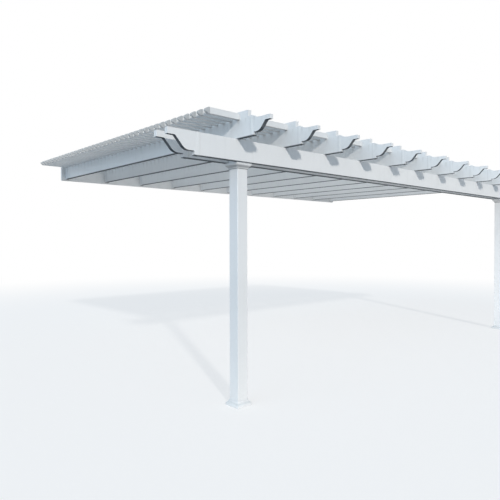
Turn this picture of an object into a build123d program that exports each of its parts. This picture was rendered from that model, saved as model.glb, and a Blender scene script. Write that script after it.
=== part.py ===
from build123d import *
import math
import os

# A wall-hung pergola: two posts, a twin-board front beam with moulded tails, eleven routed
# rafters that carry shade slats, and a ledger board on the wall.
# X runs along the beam, +Y points from the posts to the wall, +Z is up, all in millimetres.
# The origin is the centre of the left post's foot.

# Posts
post_width = 130.0
post_corner_radius = 6.0
post_spacing = 6504.0
clear_height = 2440.0
post_top_below_beam = 20.0

# Moulding that skirts each post at its foot and, upside down, at its head
skirt_height = 62.0
skirt_projection = 31.0
skirt_band = 12.0
skirt_lip = 4.0
skirt_fit = 0.3

# Front beam: two boards, one on each side of the posts
board_thickness = 44.0
board_fit = 1.0
beam_depth = 216.0
beam_overhang = 906.0

# Slope of every tail's underside below its level lip, in degrees
tail_slope = 48.0

# Moulded tail of a beam board
beam_tail_length = 348.0
beam_tail_tip = 59.0
beam_tail_lip = 69.0
beam_tail_bend = 25.0
beam_tail_hollow = 100.0
beam_tail_run = 289.0
beam_tail_step = 39.0

# Rafters
rafter_count = 11
rafter_spacing = 668.0
rafter_thickness = 44.0
rafter_depth = 190.0
rafter_overhang = 301.0

# Slat channel that stands on the back of each rafter, in one piece with it
channel_height = 62.0
channel_setback = 31.0

# Moulded tail of a rafter
rafter_tail_length = 263.0
rafter_tail_tip = 42.0
rafter_tail_lip = 52.0
rafter_tail_bend = 18.0
rafter_tail_hollow = 85.0
rafter_tail_run = 214.0
rafter_tail_step = 29.0
rafter_tail_scoop = 109.0
rafter_tail_drop = 31.0

# Flange at the inner end of every moulded tail, which covers its joint with the board
collar_width = 28.0
collar_rise = 2.0

# Shade slats
slat_pitch = 109.0
slat_width = 40.0
slat_height = 60.0
slat_overhang = 411.0
slat_tip_length = 36.0
slat_front_margin = 120.0
slat_cover = 15.0
slat_fit = 0.4
slat_wall_gap = 30.0
slat_groups = 4

# Wall ledger and the hangers that hold the rafters on it
wall_distance = 4120.0
ledger_thickness = 38.0
ledger_depth = 286.0
ledger_drop = 25.0
ledger_end_margin = 60.0
hanger_plate = 3.0
hanger_length = 70.0
hanger_height = 130.0
hanger_flange = 32.0
hanger_fit = 0.3

# Places that follow from the sizes above
middle_x = post_spacing / 2
beam_top = clear_height + beam_depth
beam_board_y = (post_width + board_thickness) / 2 + board_fit
rafter_xs = [middle_x + rafter_spacing * (i - (rafter_count - 1) / 2) for i in range(rafter_count)]
rafter_front = -rafter_overhang
rafter_top = beam_top + rafter_depth
channel_front = rafter_front + channel_setback
channel_top = rafter_top + channel_height
ledger_face = wall_distance - ledger_thickness
ledger_bottom = beam_top - ledger_drop
slat_centre_z = channel_top - slat_cover - slat_height / 2
first_slat_y = channel_front + slat_front_margin + slat_width / 2
last_slat_y = ledger_face - slat_wall_gap - slat_width / 2
slat_count = int((last_slat_y - first_slat_y) // slat_pitch) + 1
slat_ys = [first_slat_y + slat_pitch * i for i in range(slat_count)]
slat_length = rafter_xs[-1] - rafter_xs[0] + rafter_thickness + 2 * slat_overhang

os.makedirs("parts", exist_ok=True)


def save(name, shape):
    """Write one sub-part under its own name."""
    export_step(shape, "parts/" + name + ".step")


def moulded_edge(start, drop, bend_radius, hollow_radius):
    """A tail's underside from the end of its lip: round a bend, down the slope and out level again."""
    rounding = (bend_radius + hollow_radius) * (1 - math.cos(math.radians(tail_slope)))
    slope_length = (drop - rounding) / math.sin(math.radians(tail_slope))
    bend = JernArc(start=start, tangent=(1, 0), radius=bend_radius, arc_size=-tail_slope)
    slope = Line(bend @ 1, bend @ 1 + (bend % 1) * slope_length)
    hollow = JernArc(start=slope @ 1, tangent=slope % 1, radius=hollow_radius, arc_size=tail_slope)
    return bend + slope + hollow


def post():
    """A square post with softly rounded corners, foot at the origin, that runs up between the beam boards."""
    section = RectangleRounded(post_width, post_width, post_corner_radius)
    return extrude(section, beam_top - post_top_below_beam)


def skirt_half_profile():
    """Half the moulding's outline in width and height, from the axis to its outer ogee."""
    lip = post_width / 2 + skirt_lip
    outer = post_width / 2 + skirt_projection
    base = Polyline((lip, skirt_height), (0, skirt_height), (0, 0), (outer, 0), (outer, skirt_band))
    start = base @ 1
    half = (start + base @ 0) * 0.5
    hollow = TangentArc(start, half, tangent=(0, 1))
    swell = TangentArc(hollow @ 1, base @ 0, tangent=hollow % 1)
    return make_face(base + hollow + swell)


def skirt():
    """The square moulding: its outline run along X meets the same outline run along Y."""
    half = skirt_half_profile()
    outline = half + mirror(half, Plane.YZ)
    run = extrude(Plane.XZ * outline, post_width, both=True)
    ring = run & (Rot(0, 0, 90) * run)
    inner = Rectangle(post_width + 2 * skirt_fit, post_width + 2 * skirt_fit)
    return ring - extrude(inner, skirt_height)


def beam_board():
    """The straight stretch of one beam board, between its two tails."""
    length = post_spacing + 2 * (beam_overhang - beam_tail_length)
    return Pos(middle_x, 0, clear_height) * Box(
        length, board_thickness, beam_depth, align=(Align.CENTER, Align.CENTER, Align.MIN)
    )


def collar(thickness, depth):
    """The flange round the inner end of a tail that points to -Y, centred on the joint face."""
    return Box(
        thickness + 2 * collar_rise, collar_width, depth + 2 * collar_rise,
        align=(Align.CENTER, Align.MAX, Align.CENTER)
    )


def beam_tail():
    """A beam tail that points to -X, with its joint at the beam board's left end."""
    tip = -beam_overhang
    joint = tip + beam_tail_length
    step = tip + beam_tail_run
    lip = (tip + beam_tail_lip, beam_top - beam_tail_tip)
    step_top = clear_height + beam_tail_step
    curve = moulded_edge(lip, lip[1] - step_top, beam_tail_bend, beam_tail_hollow)
    sides = Polyline(
        curve @ 1, (step, step_top), (step, clear_height), (joint, clear_height),
        (joint, beam_top), (tip, beam_top), (tip, lip[1]), lip
    )
    body = extrude(Plane.XZ * make_face(curve + sides), board_thickness / 2, both=True)
    flange = Rot(0, 0, -90) * collar(board_thickness, beam_depth)
    return body + Pos(joint, 0, clear_height + beam_depth / 2) * flange


def slat_holes():
    """The outlines of the routed holes, one for each slat, in the rafter's side."""
    hole = Rectangle(slat_width + 2 * slat_fit, slat_height + 2 * slat_fit)
    return [Pos(y, slat_centre_z) * hole for y in slat_ys]


def rafter():
    """A rafter with its slat channel, seen from the side as Y and Z, and routed right through."""
    outline = make_face(Polyline(
        (rafter_front, beam_top), (ledger_face, beam_top), (ledger_face, channel_top),
        (channel_front, channel_top), (channel_front, rafter_top), (rafter_front, rafter_top),
        close=True
    ))
    return extrude(Plane.YZ * (outline - slat_holes()), rafter_thickness / 2, both=True)


def rafter_tail():
    """A rafter tail: moulded underneath, and a scoop on top that runs out level to the tip."""
    tip = rafter_front - rafter_tail_length
    step = tip + rafter_tail_run
    tip_top = rafter_top - rafter_tail_drop
    lip = (tip + rafter_tail_lip, tip_top - rafter_tail_tip)
    step_top = beam_top + rafter_tail_step
    scoop_end = rafter_front - collar_width
    curve = moulded_edge(lip, lip[1] - step_top, rafter_tail_bend, rafter_tail_hollow)
    back = Polyline(
        curve @ 1, (step, step_top), (step, beam_top), (rafter_front, beam_top),
        (rafter_front, rafter_top), (scoop_end, rafter_top)
    )
    scoop = TangentArc((scoop_end - rafter_tail_scoop, tip_top), (scoop_end, rafter_top), tangent=(1, 0))
    front = Polyline((scoop_end - rafter_tail_scoop, tip_top), (tip, tip_top), (tip, lip[1]), lip)
    body = extrude(Plane.YZ * make_face(curve + back + scoop + front), rafter_thickness / 2, both=True)
    flange = collar(rafter_thickness, rafter_depth)
    return body + Pos(0, rafter_front, beam_top + rafter_depth / 2) * flange


def ledger():
    """The board on the wall that takes the rafters' ends."""
    length = rafter_xs[-1] - rafter_xs[0] + rafter_thickness + 2 * ledger_end_margin
    return Pos(middle_x, wall_distance, ledger_bottom) * Box(
        length, ledger_thickness, ledger_depth, align=(Align.CENTER, Align.MAX, Align.MIN)
    )


def hanger():
    """A U-shaped hanger with two flanges that lie on the ledger."""
    inner = rafter_thickness / 2 + hanger_fit
    outer = inner + hanger_plate
    floor = beam_top - hanger_fit
    cradle = make_face(Polyline(
        (-outer, floor + hanger_height), (-outer, floor - hanger_plate), (outer, floor - hanger_plate),
        (outer, floor + hanger_height), (inner, floor + hanger_height), (inner, floor),
        (-inner, floor), (-inner, floor + hanger_height), close=True
    ))
    flange = Rectangle(hanger_flange, hanger_height, align=(Align.MIN, Align.MIN))
    flanges = Pos(outer, floor) * flange + mirror(Pos(outer, floor) * flange, Plane.YZ)
    wall_plane = Plane.XZ.offset(-ledger_face)
    return extrude(wall_plane * cradle, hanger_length) + extrude(wall_plane * flanges, hanger_plate)


def pointed_bar(width):
    """A slat's outline of the given width, with both its ends drawn to a point halfway."""
    tip = slat_length / 2
    shoulder = tip - slat_tip_length
    return make_face(Polyline(
        (-tip, 0), (-shoulder, -width / 2), (shoulder, -width / 2),
        (tip, 0), (shoulder, width / 2), (-shoulder, width / 2), close=True
    ))


def slat():
    """One slat, a closed bar through every rafter: its side outline meets its top outline in hipped ends."""
    from_side = extrude(Plane.XZ * pointed_bar(slat_height), slat_width, both=True)
    from_top = extrude(pointed_bar(slat_width), slat_height, both=True)
    return Pos(middle_x, 0, slat_centre_z) * (from_side & from_top)


def build_posts():
    """Both posts with their foot and head mouldings."""
    foot = skirt()
    head = Pos(0, 0, clear_height) * Rot(180, 0, 0) * foot
    for side, x in (("left", 0), ("right", post_spacing)):
        save("post_" + side, Pos(x, 0, 0) * post())
        save("post_base_" + side, Pos(x, 0, 0) * foot)
        save("post_capital_" + side, Pos(x, 0, 0) * head)


def build_beam():
    """The two beam boards and their four tails."""
    board = beam_board()
    left_tail = beam_tail()
    right_tail = Pos(post_spacing, 0, 0) * mirror(left_tail, Plane.YZ)
    for place, y in (("front", -beam_board_y), ("back", beam_board_y)):
        save("beam_" + place, Pos(0, y, 0) * board)
        save("beam_tail_" + place + "_left", Pos(0, y, 0) * left_tail)
        save("beam_tail_" + place + "_right", Pos(0, y, 0) * right_tail)


def build_rafters():
    """Eleven rafters with their tails, and their hangers on the ledger."""
    body = rafter()
    tail = rafter_tail()
    for number, x in enumerate(rafter_xs, start=1):
        save("rafter_%02d" % number, Pos(x, 0, 0) * body)
        save("rafter_tail_%02d" % number, Pos(x, 0, 0) * tail)
    cradle = hanger()
    save("rafter_hangers", Compound(children=[Pos(x, 0, 0) * cradle for x in rafter_xs]))


def build_slats():
    """The slats in bands from the front to the wall."""
    bar = slat()
    for group in range(slat_groups):
        first = group * slat_count // slat_groups
        last = (group + 1) * slat_count // slat_groups
        bars = [Pos(0, y, 0) * bar for y in slat_ys[first:last]]
        save("shade_slats_%d" % (group + 1), Compound(children=bars))


build_posts()
build_beam()
build_rafters()
save("ledger", ledger())
build_slats()
print("parts written, slats end", round(ledger_face - slat_ys[-1] - slat_width / 2, 1), "mm from the ledger")
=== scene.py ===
import math
import bpy
import numpy as np
from mathutils import Matrix, Vector


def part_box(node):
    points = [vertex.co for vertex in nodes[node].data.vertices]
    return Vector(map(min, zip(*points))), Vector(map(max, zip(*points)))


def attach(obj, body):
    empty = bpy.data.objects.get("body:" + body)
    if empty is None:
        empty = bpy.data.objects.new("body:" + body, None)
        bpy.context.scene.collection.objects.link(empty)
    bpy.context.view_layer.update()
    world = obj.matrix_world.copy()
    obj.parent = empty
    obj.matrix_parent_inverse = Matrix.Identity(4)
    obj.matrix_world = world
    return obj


# An attached pergola of white hollow vinyl extrusions: the finishes of every member, the rounded
# edges of the extrusions, the caps on the slats' ends, and the screws in the hangers and the ledger.

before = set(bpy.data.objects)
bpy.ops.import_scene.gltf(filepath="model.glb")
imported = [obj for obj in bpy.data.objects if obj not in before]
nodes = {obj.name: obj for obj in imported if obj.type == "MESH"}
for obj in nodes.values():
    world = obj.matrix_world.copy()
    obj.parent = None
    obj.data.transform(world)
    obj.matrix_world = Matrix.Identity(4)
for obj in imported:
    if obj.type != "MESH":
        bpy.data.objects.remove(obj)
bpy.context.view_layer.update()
print("frame: %d nodes" % len(nodes))


# Places that the frame gives, in metres

def boxOf(name):
    low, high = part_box(name)
    return np.array(low), np.array(high)


rafterNames = sorted(n for n in nodes if n.startswith("rafter_") and n[7:].isdigit())
slatNames = sorted(n for n in nodes if n.startswith("shade_slats_"))
capitalLow = boxOf("post_capital_left")[0]
rafterLow, rafterHigh = boxOf(rafterNames[0])
beamLow, beamHigh = boxOf("beam_front")
ledgerLow, ledgerHigh = boxOf("ledger")
hangersLow, hangersHigh = boxOf("rafter_hangers")
firstSlatsLow, firstSlatsHigh = boxOf(slatNames[0])
middleX = (beamLow[0] + beamHigh[0]) / 2


def slatPlaces():
    # A slat's corners lie at its front or its back, or at the tips halfway between them
    points = []
    for name in slatNames:
        mesh = nodes[name].data
        flat = np.zeros(len(mesh.vertices) * 3, np.float32)
        mesh.vertices.foreach_get("co", flat)
        points.append(flat.reshape(-1, 3).astype(float).round(4))
    points = np.concatenate(points)
    rows = np.unique(points[:, 1]).reshape(-1, 3)
    return rows[:, 0], rows[:, 2], np.unique(points[:, 0])


slatFronts, slatBacks, slatEnds = slatPlaces()
leftTip, leftShoulder, rightShoulder, rightTip = slatEnds.tolist()
slatPitch = float(slatFronts[1] - slatFronts[0])
print("slats: %d at %.3f m" % (len(slatFronts), slatPitch))


# Shader building blocks

def addNode(tree, kind, inputs=None, **settings):
    node = tree.nodes.new("ShaderNode" + kind)
    for key, value in settings.items():
        setattr(node, key, value)
    for key, value in (inputs or {}).items():
        if isinstance(value, bpy.types.NodeSocket):
            tree.links.new(value, node.inputs[key])
        else:
            node.inputs[key].default_value = value
    return node


def calc(tree, operation, *values):
    return addNode(tree, "Math", dict(enumerate(values)), operation=operation).outputs[0]


def fade(tree, value, start, end):
    # 0 at start, 1 at end, smooth between them, whichever of the two is larger
    inputs = {"Value": value, "From Min": start, "From Max": end}
    return addNode(tree, "MapRange", inputs, interpolation_type="SMOOTHSTEP").outputs["Result"]


def noise(tree, place, scale, stretch=(1, 1, 1), detail=3.0, roughness=0.55):
    moved = addNode(tree, "Mapping", {"Vector": place, "Scale": stretch}).outputs["Vector"]
    inputs = {"Vector": moved, "Scale": scale, "Detail": detail, "Roughness": roughness}
    return addNode(tree, "TexNoise", inputs).outputs["Fac"]


def blendColour(tree, factor, first, second):
    return addNode(tree, "Mix", {0: factor, 6: first, 7: second}, data_type="RGBA").outputs[2]


def rgba(colour):
    return (colour[0], colour[1], colour[2], 1.0)


# Where a face starts to count as turned this way, and where it fully does, by a part of its normal
faceLimits = {
    "below": (-0.25, -0.75),
    "lying": (0.4, 0.9),
    "upright": (0.6, 0.25),
    "edge": (0.9, 0.5),
    "side": (0.5, 0.8),
}


def faceShare(tree, facing, turned):
    # Lying faces and those below go by the normal's height with its sign, side ones by the size of its
    # width, and upright ones and edges by the size of its height
    value =facing.outputs["X" if turned == "side" else "Z"]
    if turned not in ("below", "lying"):
        value = calc(tree, "ABSOLUTE", value)
    return fade(tree, value, *faceLimits[turned])


def newMaterial(name):
    material = bpy.data.materials.new(name)
    material.use_nodes = True
    tree = material.node_tree
    tree.nodes.clear()
    place = addNode(tree, "TexCoord").outputs["Object"]
    axes = addNode(tree, "SeparateXYZ", {"Vector": place})
    facing = addNode(tree, "SeparateXYZ", {"Vector": addNode(tree, "NewGeometry").outputs["Normal"]})
    return material, tree, place, axes, facing


def closeMaterial(tree, colour, roughness, height, values, specular):
    # Height is in metres, so that the bump has the real depth
    bump = addNode(tree, "Bump", {"Height": height, "Strength": 1.0, "Distance": 1.0})
    surface = addNode(tree, "BsdfPrincipled", {
        "Base Color": colour, "Roughness": roughness, "Normal": bump.outputs["Normal"],
        "IOR": values["ior"], "Specular IOR Level": specular,
        "Coat Weight": values["coat"], "Coat Roughness": values["coatGloss"],
    })
    addNode(tree, "OutputMaterial", {"Surface": surface.outputs["BSDF"]})


# White vinyl. Every slot has the same skin: a satin extrusion with faint die lines along its run,
# a slow waviness of its faces, chalky mottling, rain streaks down its sides and a grey-green film on top.

vinylSkin = {
    "ior": 1.52,
    "coat": 0.0,
    "coatGloss": 0.25,
    "gloss": 0.34,                          # roughness of the clean skin
    "glossSpread": 0.10,
    "dirtGloss": 0.16,                      # roughness that dirt adds
    "paintedShadeGloss": 0.60,                      # roughness that the painted shade underneath adds
    "paintedShadeDullness": 0.52,                   # specular level that the painted shade takes away
    "paintedShadePatches": 0.03,
    "specular": 0.5,
    "dirt": (0.33, 0.33, 0.29),
    "film": (0.40, 0.43, 0.36),
    "paintedShadeColour": (0.038, 0.048, 0.060),     # painted shade, put under the members and along their lower edges where shade falls
    "mottling": 0.045,                      # share by which the tone varies over a metre
    "mottlingScale": 1.3,                   # all scales are in spots per metre
    "mottlingEdge": (0.30, 0.70),
    "topEdge": (0.30, 0.62),
    "fineDirt": 0.05,
    "fineScale": 38.0,
    "streakScale": 17.0,
    "streakStretch": 0.05,
    "streakEdge": (0.50, 0.74),
    "speckDirt": 0.12,
    "speckScale": 150.0,
    "speckEdge": (0.70, 0.76),
    "wave": 0.0009,                         # height of the slow waviness, in metres
    "waveScale": 2.4,
    "waveStretch": 0.5,
    "dieLine": 0.00005,                     # depth of the lines along the run
    "dieLineScale": 240.0,
    "dieLineStretch": 0.02,
    "grain": 0.00002,
    "grainScale": 520.0,
}

# Dust in the tails' joints, and painted shade along the lower edges: how much, and where it starts and is
# full, in metres
seamDust = {"amount": 0.34, "outer": 0.0045, "inner": 0.0008}
rimPaintedShade = {"amount": 0.75, "outer": 0.0085, "inner": 0.0045, "below": 0.010}

# Run of grey below each slat on the rafters: lengths in metres, widths in shares of the slats' pitch
drip = {
    "amount": 0.20,
    "length": 0.10,
    "topGap": 0.004,
    "fadeAbove": 0.006,
    "outer": 0.26,
    "inner": 0.10,
    "wander": 0.16,
    "wanderScale": 9.0,
    "wanderStretch": 0.4,
    "breakScale": 26.0,
    "breakStretch": 0.12,
    "breakEdge": (0.40, 0.62),
}

# Splashes at the posts' feet, in metres above the floor
splash = {"top": 0.22, "bottom": -0.06, "wander": -0.10, "edge": (0.34, 0.60)}

# Shares of streaks on the sides, of film on top, of splashes at the foot and of painted shade underneath
vinylFinishes = {
    "post_vinyl": {
        "colour": (0.795, 0.802, 0.808), "run": 2, "streak": 0.04, "top": 0.0, "foot": 0.07, "under": 0.0,
    },
    "trim_vinyl": {
        "colour": (0.785, 0.792, 0.798), "run": 2, "streak": 0.04, "top": 0.08, "foot": 0.08, "under": 0.45,
    },
    "beam_vinyl": {
        "colour": (0.785, 0.793, 0.800), "run": 0, "streak": 0.05, "top": 0.10, "foot": 0.0, "under": 0.96,
    },
    "rafter_vinyl": {
        "colour": (0.775, 0.785, 0.792), "run": 1, "streak": 0.07, "top": 0.10, "foot": 0.0, "under": 0.96,
    },
    "slat_vinyl": {
        "colour": (0.745, 0.755, 0.760), "run": 0, "streak": 0.06, "top": 0.12, "foot": 0.0, "under": 0.30,
    },
    "ledger_vinyl": {
        "colour": (0.755, 0.765, 0.770), "run": 0, "streak": 0.07, "top": 0.10, "foot": 0.0, "under": 0.40,
    },
    # The caps are white vinyl too; their grey is painted shade on the slats' ends
    "slat_caps_painted_shade": {
        "colour": (0.450, 0.465, 0.475), "run": 0, "streak": 0.10, "top": 0.0, "foot": 0.0, "under": 0.0,
    },
}


def seamShade(tree, axes, slot, v):
    # Dust in the joints between the moulded tails and the boards that they close
    if slot == "beam_vinyl":
        along = calc(tree, "ABSOLUTE", calc(tree, "SUBTRACT", axes.outputs["X"], float(middleX)))
        joint = float(beamHigh[0] - middleX)
    elif slot == "rafter_vinyl":
        along = axes.outputs["Y"]
        joint = float(rafterLow[1])
    else:
        return None
    away = calc(tree, "ABSOLUTE", calc(tree, "SUBTRACT", along, joint))
    return fade(tree, away, v["outer"], v["inner"])


def rimShade(tree, axes, facing, slot, v):
    # Painted shade: a near-black line along the lower edge of beam, rafters and capitals
    low = {"beam_vinyl": beamLow, "rafter_vinyl": rafterLow, "trim_vinyl": capitalLow}.get(slot)
    if low is None:
        return None
    bottom = float(low[2])
    near = fade(tree, axes.outputs["Z"], bottom + v["outer"], bottom + v["inner"])
    above = fade(tree, axes.outputs["Z"], bottom - v["below"], bottom - v["below"] / 2)
    return calc(tree, "MULTIPLY", calc(tree, "MULTIPLY", near, above), faceShare(tree, facing, "edge"))


def dripShade(tree, place, axes, facing, v):
    # How far a point lies from the middle of the nearest slat, in shares of the pitch, and the height
    # below the slat's hole: the run is full under the slat and fades out downwards and sideways
    firstMiddle = float(slatFronts[0] + slatBacks[0]) / 2
    turns = calc(tree, "DIVIDE",
                 calc(tree, "SUBTRACT", axes.outputs["Y"], firstMiddle - slatPitch / 2), slatPitch)
    off = calc(tree, "ABSOLUTE", calc(tree, "SUBTRACT", calc(tree, "FRACT", turns), 0.5))
    shift = calc(tree, "SUBTRACT", noise(tree, place, v["wanderScale"], (1, 1, v["wanderStretch"])), 0.5)
    wander = calc(tree, "MULTIPLY", shift, v["wander"])
    near = fade(tree, calc(tree, "ADD", off, wander), v["outer"], v["inner"])
    holeBottom = float(firstSlatsLow[2])
    below = fade(tree, axes.outputs["Z"], holeBottom - v["length"], holeBottom - v["topGap"])
    under = fade(tree, axes.outputs["Z"], holeBottom + v["fadeAbove"], holeBottom)
    breaks = noise(tree, place, v["breakScale"], (1, 1, v["breakStretch"]), detail=4.0)
    broken = fade(tree, breaks, *v["breakEdge"])
    amount = near
    for share in (below, faceShare(tree, facing, "side"), broken, under):
        amount = calc(tree, "MULTIPLY", amount, share)
    return amount


def runScale(run, share):
    # A pattern stretched along the member's run
    return tuple(share if i == run else 1.0 for i in range(3))


def cover(tree, amount, share, under, colour):
    # A coloured layer over what lies under it
    return blendColour(tree, calc(tree, "MULTIPLY", amount, share), under, rgba(colour))


def makeVinyl(slot, finish, skin):
    material, tree, place, axes, facing = newMaterial(slot + "_finish")
    run = finish["run"]
    slow = noise(tree, place, skin["mottlingScale"], detail=4.0)
    fine = noise(tree, place, skin["fineScale"], detail=4.0, roughness=0.6)
    lines = noise(tree, place, skin["dieLineScale"], runScale(run, skin["dieLineStretch"]), detail=2.0)

    # Rain streaks hang down the upright faces only
    downwards = (1, 1, skin["streakStretch"])
    hanging = noise(tree, place, skin["streakScale"], downwards, detail=4.0, roughness=0.62)
    upright = faceShare(tree, facing, "upright")
    streaks = calc(tree, "MULTIPLY", fade(tree, hanging, *skin["streakEdge"]), upright)
    lying =calc(tree, "MULTIPLY", faceShare(tree, facing, "lying"), fade(tree, slow, *skin["topEdge"]))
    patchy = calc(tree, "MULTIPLY_ADD", fade(tree, fine, *skin["mottlingEdge"]), skin["paintedShadePatches"],
                  1 - skin["paintedShadePatches"])
    # Painted shade: faces turned downwards go towards near black by the share under, in faint patches
    paintedUnderShade = calc(tree, "MULTIPLY", faceShare(tree, facing, "below"), patchy)
    paintedUnderShade = calc(tree, "MULTIPLY", paintedUnderShade, finish["under"])
    specks = fade(tree, noise(tree, place, skin["speckScale"], detail=1.0), *skin["speckEdge"])

    duller = [c * (1 - skin["mottling"]) for c in finish["colour"]]
    tone = blendColour(tree, fade(tree, slow, *skin["mottlingEdge"]), rgba(duller), rgba(finish["colour"]))
    tone = cover(tree, fine, skin["fineDirt"], tone, skin["dirt"])
    tone = cover(tree, streaks, finish["streak"], tone, skin["dirt"])
    tone = cover(tree, lying, finish["top"], tone, skin["film"])
    # Painted shade on the faces turned downwards
    tone = blendColour(tree, paintedUnderShade, tone, rgba(skin["paintedShadeColour"]))
    tone = cover(tree, specks, skin["speckDirt"], tone, skin["dirt"])
    soil = calc(tree, "ADD", streaks, lying)
    if finish["foot"]:
        level = calc(tree, "ADD", axes.outputs["Z"], calc(tree, "MULTIPLY", fine, splash["wander"]))
        low = calc(tree, "MULTIPLY", fade(tree, level, splash["top"], splash["bottom"]),
                   fade(tree, fine, *splash["edge"]))
        tone = cover(tree, low, finish["foot"], tone, skin["dirt"])
        soil = calc(tree, "ADD", soil, low)
    if slot == "rafter_vinyl":
        drips = dripShade(tree, place, axes, facing, drip)
        tone = cover(tree, drips, drip["amount"], tone, skin["dirt"])
        soil = calc(tree, "ADD", soil, drips)
    # Painted shade along the lower edges
    rim = rimShade(tree, axes, facing, slot, rimPaintedShade)
    if rim is not None:
        tone = cover(tree, rim, rimPaintedShade["amount"], tone, skin["paintedShadeColour"])
    seam = seamShade(tree, axes, slot, seamDust)
    if seam is not None:
        tone = cover(tree, seam, seamDust["amount"], tone, skin["dirt"])

    gloss = calc(tree, "MULTIPLY_ADD", fine, skin["glossSpread"], skin["gloss"] - skin["glossSpread"] / 2)
    gloss = calc(tree, "MULTIPLY_ADD", soil, skin["dirtGloss"], gloss)
    # The painted shade underneath is rougher and reflects less
    gloss = calc(tree, "MULTIPLY_ADD", paintedUnderShade, skin["paintedShadeGloss"], gloss)
    specular = calc(tree, "MULTIPLY_ADD", paintedUnderShade, -skin["paintedShadeDullness"], skin["specular"])
    waves = noise(tree, place, skin["waveScale"], runScale(run, skin["waveStretch"]), detail=1.0)
    height = calc(tree, "MULTIPLY", waves, skin["wave"])
    height = calc(tree, "MULTIPLY_ADD", lines, skin["dieLine"], height)
    grain = noise(tree, place, skin["grainScale"], detail=2.0)
    height = calc(tree, "MULTIPLY_ADD", grain, skin["grain"], height)
    closeMaterial(tree, tone, gloss, height, skin, specular)
    return material


# Hangers: folded steel with a white powder coat, with painted shade underneath

hangerSkin = {
    "colour": (0.755, 0.765, 0.775),
    "chalk": (0.68, 0.69, 0.695),
    "rust": (0.20, 0.11, 0.06),
    "paintedShadeUnder": (0.045, 0.050, 0.056),
    "rustSpots": 0.5,
    "spotScale": 120.0,
    "spotEdge": (0.72, 0.78),
    "chalkScale": 9.0,
    "chalkEdge": (0.35, 0.72),
    "gloss": 0.34,
    "glossSpread": 0.20,
    "paintedShadeUnderGloss": 0.50,
    "specular": 0.5,            # the painted shade underneath takes all of it away
    "under": 0.95,              # share of painted shade underneath
    "peel": 0.00005,            # depth of the coat's orange peel, in metres
    "peelScale": 420.0,
    "ior": 1.5,
    "coat": 0.15,
    "coatGloss": 0.25,
}


def makeHangerMetal(v):
    material, tree, place, axes, facing = newMaterial("hanger_metal_finish")
    slow = noise(tree, place, v["chalkScale"], detail=4.0)
    colour = blendColour(tree, fade(tree, slow, *v["chalkEdge"]), rgba(v["colour"]), rgba(v["chalk"]))
    spots = fade(tree, noise(tree, place, v["spotScale"], detail=3.0), *v["spotEdge"])
    colour = cover(tree, spots, v["rustSpots"], colour, v["rust"])
    # Painted shade: faces turned downwards go towards near black, rougher and without specular
    beneath = faceShare(tree, facing, "below")
    colour = cover(tree, beneath, v["under"], colour, v["paintedShadeUnder"])
    gloss = calc(tree, "MULTIPLY_ADD", slow, v["glossSpread"], v["gloss"])
    gloss = calc(tree, "MULTIPLY_ADD", beneath, v["paintedShadeUnderGloss"], gloss)
    specular = calc(tree, "MULTIPLY_ADD", beneath, -v["specular"], v["specular"])
    peel = calc(tree, "MULTIPLY", noise(tree, place, v["peelScale"], detail=1.0), v["peel"])
    closeMaterial(tree, colour, gloss, peel, v, specular)
    return material


finishes = {slot: makeVinyl(slot, finish, vinylSkin) for slot, finish in vinylFinishes.items()}
finishes["hanger_metal"] = makeHangerMetal(hangerSkin)
print("finishes: %d" % len(finishes))


# Rounded edges of the members. The frame's meshes stay as they are and modifiers finish them.

edges = {
    "weld": 0.00001,
    "flat": math.radians(0.5),      # faces within this angle are one flat face
    "sharp": math.radians(35),      # edges above this angle are rounded
    "segments": 2,
    "post": 0.0015,
    "board": 0.0025,
    "slat": 0.0020,
    "metal": 0.0006,
}


def slotOf(name):
    if name.startswith(("post_base", "post_capital")):
        return "trim_vinyl", "board"
    if name.startswith("post_"):
        return "post_vinyl", "post"
    if name.startswith("beam_"):
        return "beam_vinyl", "board"
    if name.startswith("shade_slats"):
        return "slat_vinyl", "slat"
    if name == "rafter_hangers":
        return "hanger_metal", "metal"
    if name == "ledger":
        return "ledger_vinyl", "board"
    return "rafter_vinyl", "board"


def finishNode(name, values):
    slot, edge = slotOf(name)
    piece = nodes[name]
    piece.data.materials.clear()
    piece.data.materials.append(finishes[slot])
    weld = piece.modifiers.new("weld", "WELD")
    weld.merge_threshold = values["weld"]
    flatten = piece.modifiers.new("flatten", "DECIMATE")
    flatten.decimate_type = "DISSOLVE"
    flatten.angle_limit = values["flat"]
    bevel = piece.modifiers.new("rounding", "BEVEL")
    bevel.width = values[edge]
    bevel.segments = values["segments"]
    bevel.limit_method = "ANGLE"
    bevel.angle_limit = values["sharp"]
    bevel.use_clamp_overlap = True
    bevel.harden_normals = True


for nodeName in nodes:
    finishNode(nodeName, edges)
print("members finished")


# New pieces: surfaces from numpy

def gridFaces(rings, points):
    # Quads between neighbouring rings of a closed loop
    ring, point = np.meshgrid(np.arange(rings - 1), np.arange(points), indexing="ij")
    after = (point + 1) % points
    quads = np.stack([ring * points + point, ring * points + after,
                      (ring + 1) * points + after, (ring + 1) * points + point], -1)
    return quads.reshape(-1, 4)


def addPiece(name, points, faces, ends, finish, crease):
    mesh = bpy.data.meshes.new(name)
    mesh.from_pydata(points.tolist(), [], faces.tolist() + ends)
    mesh.polygons.foreach_set("use_smooth", [True] * len(mesh.polygons))
    mesh.set_sharp_from_angle(angle=math.radians(crease))
    mesh.materials.append(finishes[finish])
    mesh.update()
    piece = bpy.data.objects.new(name, mesh)
    bpy.context.scene.collection.objects.link(piece)
    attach(piece, "root")


def copies(shape, faces, ends, places):
    # One shape at many places, as one set of points and faces
    count = len(shape)
    points = (shape[None] + places[:, None]).reshape(-1, 3)
    shift = np.arange(len(places))[:, None, None] * count
    everyFace = (faces[None] + shift).reshape(-1, faces.shape[1])
    everyEnd = [[i + int(s) for i in end] for s in shift[:, 0, 0] for end in ends]
    return points, everyFace, everyEnd


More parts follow.
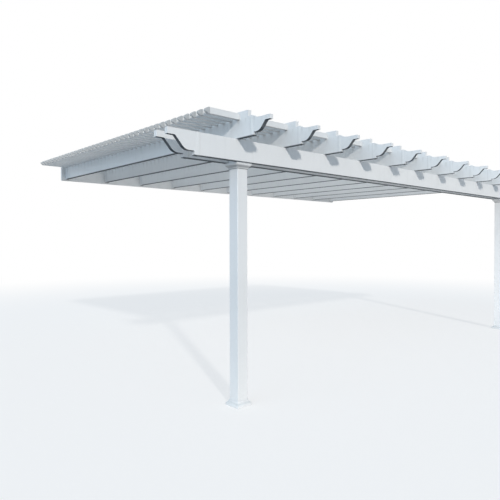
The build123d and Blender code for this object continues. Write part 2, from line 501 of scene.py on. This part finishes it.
# End caps of the slats: a moulded sleeve that grips the bar and closes it with a hipped point

slatCap = {
    "corner": 0.0042,
    "cornerPoints": 3,
    "crease": 20,       # degrees from which an edge stays sharp
    # place along the tip, from its shoulder at 0 to its point at 1, and how far the cap lies outside the bar
    "profile": ((-0.34, -0.0005), (-0.34, 0.0012), (0.04, 0.0013), (0.90, 0.0090), (0.97, 0.0074)),
}


def roundedLoop(halfWide, halfHigh, corner, cornerPoints):
    # A rectangle with quarter-circle corners, once round, as points of width and height
    turn = np.linspace(0, math.pi / 2, cornerPoints)
    quarter = np.concatenate([turn + k * math.pi / 2 for k in range(4)])
    signWide = np.repeat([1, -1, -1, 1], cornerPoints)
    signHigh = np.repeat([1, 1, -1, -1], cornerPoints)
    wide = signWide * (halfWide - corner) + corner * np.cos(quarter)
    high = signHigh * (halfHigh - corner) + corner * np.sin(quarter)
    return wide, high


def capShape(v, halfWide, halfHigh, tip):
    # The loop of the bar's section, shrunk towards the point by the first number of each pair
    # and grown by the second
    rings = []
    for share, grow in v["profile"]:
        left = 1 - max(share, 0)
        corner = v["corner"] * left + grow / 2
        wide, high = roundedLoop(halfWide * left + grow, halfHigh * left + grow, corner, v["cornerPoints"])
        rings.append(np.stack([np.full_like(wide, tip * share), wide, high], -1))
    shape = np.concatenate(rings)
    count = 4 * v["cornerPoints"]
    faces = gridFaces(len(rings), count)
    last = (len(rings) - 1) * count
    ends = [list(range(count))[::-1], list(range(last, last + count))]
    if tip < 0:
        faces = faces[:, ::-1]
        ends = [end[::-1] for end in ends]
    return shape, faces, ends


slatHalfWide = float(slatBacks[0] - slatFronts[0]) / 2
slatHalfHigh = float(firstSlatsHigh[2] - firstSlatsLow[2]) / 2
slatMiddleZ = float(firstSlatsHigh[2] + firstSlatsLow[2]) / 2
for side, shoulder, tip in (("left", leftShoulder, leftTip), ("right", rightShoulder, rightTip)):
    shape, faces, ends = capShape(slatCap, slatHalfWide, slatHalfHigh, tip - shoulder)
    places = np.stack([np.full_like(slatFronts, shoulder), (slatFronts + slatBacks) / 2,
                       np.full_like(slatFronts, slatMiddleZ)], -1)
    points, everyFace, everyEnd = copies(shape, faces, ends, places)
    addPiece("slat_caps_painted_shade_" + side, points, everyFace, everyEnd, "slat_caps_painted_shade", slatCap["crease"])
print("slat caps: %d" % (2 * len(slatFronts)))


# Screws: a domed head on a thin washer, turned round its axis

hangerScrew = {
    "profile": ((0.0058, 0.0000), (0.0058, 0.0007), (0.0040, 0.0009), (0.0036, 0.0022), (0.0022, 0.0030)),
    "around": 8,
    "flangeRows": (0.025, 0.065, 0.105),    # above the hanger's foot, in metres
    "flangeEdge": 0.016,
    "sideRows": (0.035, 0.095),
    "sideEdge": 0.030,
    "plate": 0.003,
    "plateGap": 0.0003,                     # between the rafter and the hanger's cheek
    "crease": 40,
}

ledgerScrew = {
    "profile": ((0.0150, 0.0000), (0.0150, 0.0020), (0.0095, 0.0023), (0.0092, 0.0070), (0.0070, 0.0086)),
    "around": 6,
    "edge": 0.062,
    "offset": 0.15,     # to each side of the bay's middle
    "crease": 40,
}


def headShape(v, axis):
    # Radius and height of the profile, carried round the axis: x = r cos a, y = r sin a, z = h
    turn = np.arange(v["around"]) * 2 * math.pi / v["around"]
    radius, height = np.array(v["profile"]).T
    ring = np.stack([np.outer(radius, np.cos(turn)), np.outer(radius, np.sin(turn)),
                     np.outer(height, np.ones_like(turn))], -1).reshape(-1, 3)
    direction = Vector(axis).to_track_quat("Z", "Y").to_matrix()
    shape = ring @ np.array(direction).T
    faces = gridFaces(len(radius), v["around"])
    last = (len(radius) - 1) * v["around"]
    ends = [list(range(v["around"]))[::-1], list(range(last, last + v["around"]))]
    return shape, faces, ends


rafterXs = np.array([(boxOf(n)[0][0] + boxOf(n)[1][0]) / 2 for n in rafterNames])
rafterHalf = float(rafterHigh[0] - rafterLow[0]) / 2
ledgerFace = float(ledgerLow[1])


def addScrews(name, v, axis, spots, slot):
    shape, faces, ends = headShape(v, axis)
    points, everyFace, everyEnd = copies(shape, faces, ends, np.array(spots))
    addPiece(name, points, everyFace, everyEnd, slot, v["crease"])
    return len(spots)


def hangerScrewPieces(v):
    foot = float(hangersLow[2])
    flangeMiddle = float(hangersHigh[0] - rafterXs[-1]) - v["flangeEdge"]
    spots = [(x + s * flangeMiddle, ledgerFace - v["plate"], foot + row)
             for x in rafterXs for s in (-1, 1) for row in v["flangeRows"]]
    total = addScrews("hanger_flange_screws", v, (0, -1, 0), spots, "hanger_metal")
    for side, s in (("left", -1), ("right", 1)):
        cheek = s * (rafterHalf + v["plateGap"] + v["plate"])
        spots = [(x + cheek, float(hangersLow[1]) + v["sideEdge"], foot + row)
                 for x in rafterXs for row in v["sideRows"]]
        total += addScrews("hanger_side_screws_" + side, v, (s, 0, 0), spots, "hanger_metal")
    return total


def ledgerScrewPieces(v):
    bays = (rafterXs[1:] + rafterXs[:-1]) / 2
    rows = (float(ledgerLow[2]) + v["edge"], float(ledgerHigh[2]) - v["edge"])
    spots = [(x + v["offset"] * s, ledgerFace, z) for x in bays for s, z in zip((-1, 1), rows)]
    return addScrews("ledger_screws", v, (0, -1, 0), spots, "ledger_vinyl")


print("screws: %d" % (hangerScrewPieces(hangerScrew) + ledgerScrewPieces(ledgerScrew)))


# Floor and light

floorLook = {
    "size": 120.0,
    "middleY": 1.8,
    "shown": (0.90, 0.90, 0.90),    # what the camera sees under the light
    "below": (0.34, 0.345, 0.35),   # what lights the object from straight below
    "around": (0.44, 0.455, 0.47),  # what lights it from further out, almost level
    "lift": 1.5,                    # the light of a sunlit floor on the roof's underside
    "liftColour": (1.0, 0.97, 0.93),
    "liftStart": 1.0,
    "liftEnd": 6.0,
    "aroundStart": 4.5,
    "aroundEnd": 10.0,
    "glow": 0.62,                   # share of plain white in the shown floor
    "fadeStart": 6.5,
    "fadeEnd": 17.0,
}


def seenRay(tree):
    # 1 for what the camera sees, straight on or in gloss and glass
    path = addNode(tree, "LightPath")
    seen = calc(tree, "MAXIMUM", path.outputs["Is Camera Ray"], path.outputs["Is Glossy Ray"])
    return calc(tree, "MAXIMUM", seen, path.outputs["Is Transmission Ray"])


def makeFloor(v):
    mesh = bpy.data.meshes.new("floor")
    half = v["size"] / 2
    corners = np.array([(-1, -1), (1, -1), (1, 1), (-1, 1)]) * half + np.array([middleX, v["middleY"]])
    mesh.from_pydata([(x, y, 0.0) for x, y in corners.tolist()], [], [(0, 1, 2, 3)])
    floor = bpy.data.objects.new("floor", mesh)
    bpy.context.scene.collection.objects.link(floor)
    material = bpy.data.materials.new("pale_floor")
    material.use_nodes = True
    tree = material.node_tree
    tree.nodes.clear()
    place = addNode(tree, "TexCoord").outputs["Object"]
    middle = (-float(middleX), -v["middleY"], 0)
    centred = addNode(tree, "Mapping", {"Vector": place, "Location": middle}).outputs["Vector"]
    distance = addNode(tree, "VectorMath", {0: centred}, operation="LENGTH").outputs["Value"]
    away = fade(tree, distance, v["fadeStart"], v["fadeEnd"])
    glow = calc(tree, "MULTIPLY_ADD", away, 1 - v["glow"], v["glow"])
    lit = addNode(tree, "BsdfDiffuse", {"Color": rgba(v["shown"])}).outputs["BSDF"]
    white = addNode(tree, "Emission", {"Color": (1, 1, 1, 1), "Strength": 1.0}).outputs["Emission"]
    shown = addNode(tree, "MixShader", {0: glow, 1: lit, 2: white}).outputs["Shader"]
    further = fade(tree, distance, v["aroundStart"], v["aroundEnd"])
    returned = blendColour(tree, further, rgba(v["below"]), rgba(v["around"]))
    matt = addNode(tree, "BsdfDiffuse", {"Color": returned}).outputs["BSDF"]
    near = calc(tree, "MULTIPLY", fade(tree, distance, v["liftEnd"], v["liftStart"]), v["lift"])
    upward = addNode(tree, "Emission", {"Color": rgba(v["liftColour"]), "Strength": near}).outputs["Emission"]
    bounce = addNode(tree, "AddShader", {0: matt, 1: upward}).outputs["Shader"]
    mixed = addNode(tree, "MixShader", {0: seenRay(tree), 1: bounce, 2: shown}).outputs["Shader"]
    addNode(tree, "OutputMaterial", {"Surface": mixed})
    mesh.materials.append(material)


light = {
    "toSun": (-0.48, -1.0, 0.48),
    "sunStrength": 1.85,
    "sunAngle": math.radians(3.0),
    "sunColour": (1.0, 0.95, 0.885),
    "toSide": (-1.0, -0.08, 0.45),
    "sideStrength": 0.85,
    "sideAngle": math.radians(50),
    "sideColour": (0.60, 0.81, 1.0),
    "sky": (0.68, 0.84, 1.0),
    "skyStrength": 0.54,
}


def addSun(name, towards, strength, angle, colour):
    sun = bpy.data.lights.new(name, "SUN")
    sun.energy = strength
    sun.angle = angle
    sun.color = colour
    holder = bpy.data.objects.new(name, sun)
    bpy.context.scene.collection.objects.link(holder)
    holder.rotation_mode = "QUATERNION"
    holder.rotation_quaternion = Vector(towards).to_track_quat("Z", "Y")


def makeLight(v):
    addSun("key", v["toSun"], v["sunStrength"], v["sunAngle"], v["sunColour"])
    addSun("side", v["toSide"], v["sideStrength"], v["sideAngle"], v["sideColour"])
    world = bpy.data.worlds.new("studio")
    bpy.context.scene.world = world
    world.use_nodes = True
    tree = world.node_tree
    tree.nodes.clear()
    fill = addNode(tree, "Background", {"Color": rgba(v["sky"]), "Strength": v["skyStrength"]}).outputs[0]
    white = addNode(tree, "Background", {"Color": (1, 1, 1, 1), "Strength": 1.0}).outputs[0]
    mixed = addNode(tree, "MixShader", {0: seenRay(tree), 1: fill, 2: white}).outputs["Shader"]
    addNode(tree, "OutputWorld", {"Surface": mixed})


makeFloor(floorLook)
makeLight(light)


# Camera at the photo's place and angle

cameraView = {
    "place": (-3.2877, -3.7976, 1.6567),
    "yaw": 0.7368,      # to the right of +Y
    "pitch": -0.0172,
    "roll": -0.0019,
    "focal": 498.06,    # in pixels of a frame 500 wide
    "frameWide": 500.0,
    "sensor": 36.0,
}


def makeCamera(v):
    yaw, pitch, roll = v["yaw"], v["pitch"], v["roll"]
    ahead = Vector((math.sin(yaw) * math.cos(pitch), math.cos(yaw) * math.cos(pitch), math.sin(pitch)))
    levelRight = Vector((math.cos(yaw), -math.sin(yaw), 0))
    levelUp = levelRight.cross(ahead)
    right = math.cos(roll) * levelRight + math.sin(roll) * levelUp
    up = math.cos(roll) * levelUp - math.sin(roll) * levelRight
    data = bpy.data.cameras.new("camera")
    data.sensor_width = v["sensor"]
    data.lens = v["focal"] * v["sensor"] / v["frameWide"]
    camera = bpy.data.objects.new("camera", data)
    bpy.context.scene.collection.objects.link(camera)
    turn = Matrix((right, up, -ahead)).transposed().to_4x4()
    camera.matrix_world = Matrix.Translation(v["place"]) @ turn
    bpy.context.scene.camera = camera


makeCamera(cameraView)
bpy.context.scene.view_settings.view_transform = "Standard"
print("camera, floor and light set")
